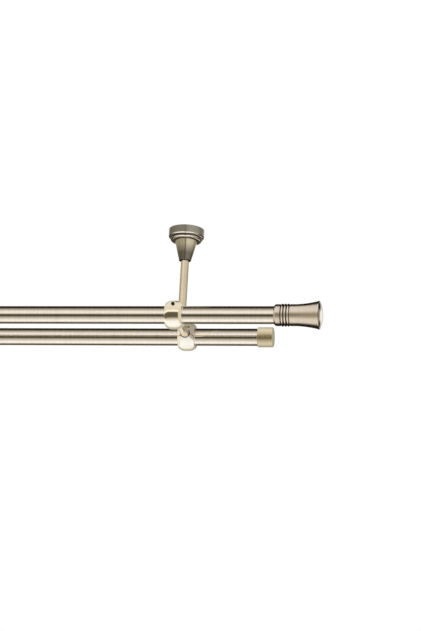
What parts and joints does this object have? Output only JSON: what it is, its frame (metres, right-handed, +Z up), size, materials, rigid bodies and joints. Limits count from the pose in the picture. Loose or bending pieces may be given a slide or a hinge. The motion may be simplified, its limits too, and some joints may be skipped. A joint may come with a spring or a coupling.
{
  "type": "double curtain pole",
  "caption": "Straight metal curtain poles held one behind the other under a ceiling by T brackets with clamp rings, with flared finials in front and plain caps behind.",
  "frame": {"origin": "on the ceiling plane, midway between the two brackets and centred on their screw holes", "axes": "+X along the poles, -Y towards the room and +Z up, out of the ceiling plates into the ceiling"},
  "size_m": [1.3012, 0.1454, 0.1652],
  "materials": {
    "pole_brass": "steel tube plated in antique brass, brushed round the tube under lacquer",
    "fitting_brass": "turned brass with an antique finish, finely brushed and lacquered",
    "cover_brass": "turned brass with a darker antique finish, satin",
    "rod_steel": "steel bar plated in pale antique brass, satin",
    "plate_steel": "zinc plated steel, plain",
    "screw_steel": "blackened steel, satin"
  },
  "bodies": {
    "root": {"front_pole": "pole_brass", "rear_pole": "pole_brass", "ceiling_plates": "plate_steel", "cup_covers": "cover_brass", "cone_sleeves": "cover_brass", "front_rings": "fitting_brass", "rear_rings": "fitting_brass", "finials": "fitting_brass", "end_caps": "fitting_brass", "left_drop_rod": "rod_steel", "right_drop_rod": "rod_steel", "left_cross_arm": "rod_steel", "right_cross_arm": "rod_steel", "left_cone_screw": "screw_steel", "right_cone_screw": "screw_steel", "left_front_set_screw": "screw_steel", "left_rear_set_screw": "screw_steel", "right_front_set_screw": "screw_steel", "right_rear_set_screw": "screw_steel"}
  },
  "joints": []
}
